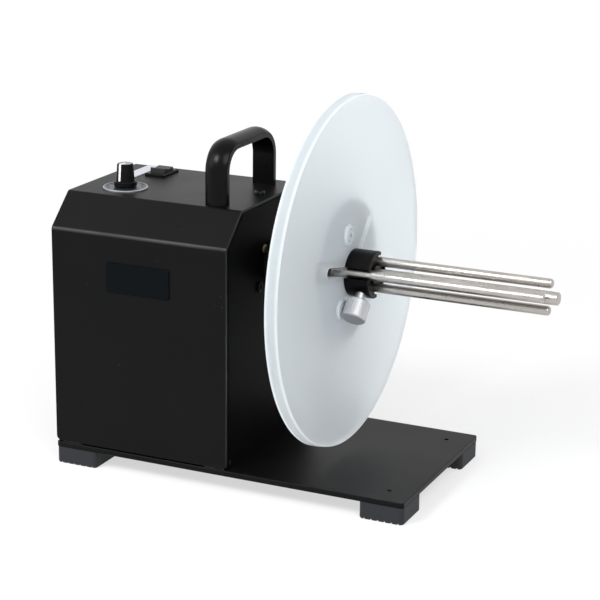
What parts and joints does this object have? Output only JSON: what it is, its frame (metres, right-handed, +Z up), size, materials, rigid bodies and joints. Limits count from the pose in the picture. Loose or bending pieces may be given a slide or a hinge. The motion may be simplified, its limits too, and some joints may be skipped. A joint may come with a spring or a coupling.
{
  "type": "bench label rewinder",
  "caption": "Powered bench label rewinder with a sheet-metal drive housing on a footed base plate, a frosted flange disc and adjustable core fingers on a spindle.",
  "frame": {"origin": "on the surface the feet stand on, in the middle of the overall length and width", "axes": "+X along the spindle away from the housing, -Y is the front with the badge plate, +Z is up"},
  "size_m": [0.31, 0.22, 0.2435],
  "materials": {
    "black_panel": "fine satin powder coat",
    "rubber": "matt",
    "zinc_steel": "zinc plated",
    "black_steel": "black oxide",
    "yellow_zinc": "yellow passivated",
    "polished_steel": "ground and polished",
    "bare_aluminium": "machined",
    "knurled_aluminium": "knurled, bright",
    "black_anodised": "black anodised, satin",
    "frosted_plastic": "frosted, translucent",
    "black_plastic": "satin",
    "black_handle": "satin",
    "badge": "gloss",
    "white_label": "satin",
    "dial": "satin with a plain scale",
    "grey_cap": "satin",
    "white_line": "gloss",
    "board_green": "solder mask"
  },
  "bodies": {
    "housing": {"base_plate": "black_panel", "foot_front_left": "rubber", "foot_back_left": "rubber", "foot_front_right": "rubber", "foot_back_right": "rubber", "foot_screws": "zinc_steel", "side_plate_right": "black_panel", "side_plate_left": "black_panel", "side_plug": "black_plastic", "base_angles": "zinc_steel", "base_angle_screws": "zinc_steel", "side_rivets": "zinc_steel", "cover": "black_panel", "cover_screws": "black_steel", "badge_plate": "badge", "label_strip": "white_label", "handle": "black_handle", "handle_screws": "zinc_steel", "dial_plate": "dial", "potentiometer": "zinc_steel", "potentiometer_nut": "zinc_steel", "switch_body": "black_plastic", "power_inlet": "black_plastic", "inlet_nut": "zinc_steel", "bearing_housing": "bare_aluminium", "bearing_outer_rings": "polished_steel", "bearing_housing_screws": "yellow_zinc", "gearbox": "zinc_steel", "motor": "zinc_steel", "motor_bracket": "bare_aluminium", "gearbox_screws": "zinc_steel", "motor_bracket_screws": "zinc_steel", "board_standoffs": "yellow_zinc", "control_board": "board_green", "board_screws": "zinc_steel", "board_parts": "bare_aluminium"},
    "spindle": {"spindle_shaft": "polished_steel", "shaft_collar": "black_steel", "collar_screw": "zinc_steel", "coupling": "bare_aluminium", "coupling_screws": "black_steel", "motor_shaft": "polished_steel", "bearing_inner_rings": "polished_steel", "bearing_balls": "polished_steel"},
    "flange": {"hub": "black_anodised", "flange_disc": "frosted_plastic", "carrier": "black_plastic", "cup_washers": "polished_steel", "flange_screws": "zinc_steel"},
    "scroll": {"scroll_plate": "black_plastic"},
    "clamp_nut": {"clamp_nut": "bare_aluminium"},
    "thumb_screw": {"thumb_screw": "knurled_aluminium"},
    "speed_knob": {"knob_body": "black_plastic", "knob_cap": "grey_cap", "knob_pointer": "white_line", "potentiometer_shaft": "bare_aluminium"},
    "rocker": {"rocker": "black_plastic"},
    "finger_1": {"finger_1": "polished_steel"},
    "finger_2": {"finger_2": "polished_steel"},
    "finger_3": {"finger_3": "polished_steel"}
  },
  "joints": [
    {"name": "spindle_spin", "type": "hinge", "parent": "housing", "child": "spindle", "pos_m": [0, 0, 0.1335], "axis": [1, 0, 0], "continuous": true},
    {"name": "flange_slide", "type": "slide", "parent": "spindle", "child": "flange", "axis": [1, 0, 0], "range_m": [-0.008, 0.1]},
    {"name": "scroll_turn", "type": "hinge", "parent": "flange", "child": "scroll", "pos_m": [0, 0, 0.1335], "axis": [1, 0, 0], "range_deg": [0, 232]},
    {"name": "clamp_nut_turn", "type": "hinge", "parent": "flange", "child": "clamp_nut", "pos_m": [-0.005, 0, 0.1335], "axis": [-1, 0, 0], "range_deg": [0, 90]},
    {"name": "thumb_screw_turn", "type": "hinge", "parent": "flange", "child": "thumb_screw", "pos_m": [0.0318, -0.01338, 0.11864], "axis": [0, -0.6691, -0.7431], "range_deg": [0, 360]},
    {"name": "speed_knob_turn", "type": "hinge", "parent": "housing", "child": "speed_knob", "pos_m": [-0.1263, -0.0214, 0.1755], "axis": [0, 0, 1], "range_deg": [-300, 0]},
    {"name": "rocker_tilt", "type": "hinge", "parent": "housing", "child": "rocker", "pos_m": [-0.1254, 0.0247, 0.1765], "axis": [1, 0, 0], "range_deg": [0, 8]},
    {"name": "finger_1_slide", "type": "slide", "parent": "flange", "child": "finger_1", "axis": [0, 0.6691, 0.7431], "range_m": [0, 0.0271]},
    {"name": "finger_2_slide", "type": "slide", "parent": "flange", "child": "finger_2", "axis": [0, -0.9781, 0.2079], "range_m": [0, 0.0271]},
    {"name": "finger_3_slide", "type": "slide", "parent": "flange", "child": "finger_3", "axis": [0, 0.309, -0.9511], "range_m": [0, 0.0271]}
  ],
  "couplings": [
    {"joint": "finger_1_slide", "follows": "scroll_turn", "m_per_rad": 0.0066845},
    {"joint": "finger_2_slide", "follows": "scroll_turn", "m_per_rad": 0.0066845},
    {"joint": "finger_3_slide", "follows": "scroll_turn", "m_per_rad": 0.0066845}
  ]
}
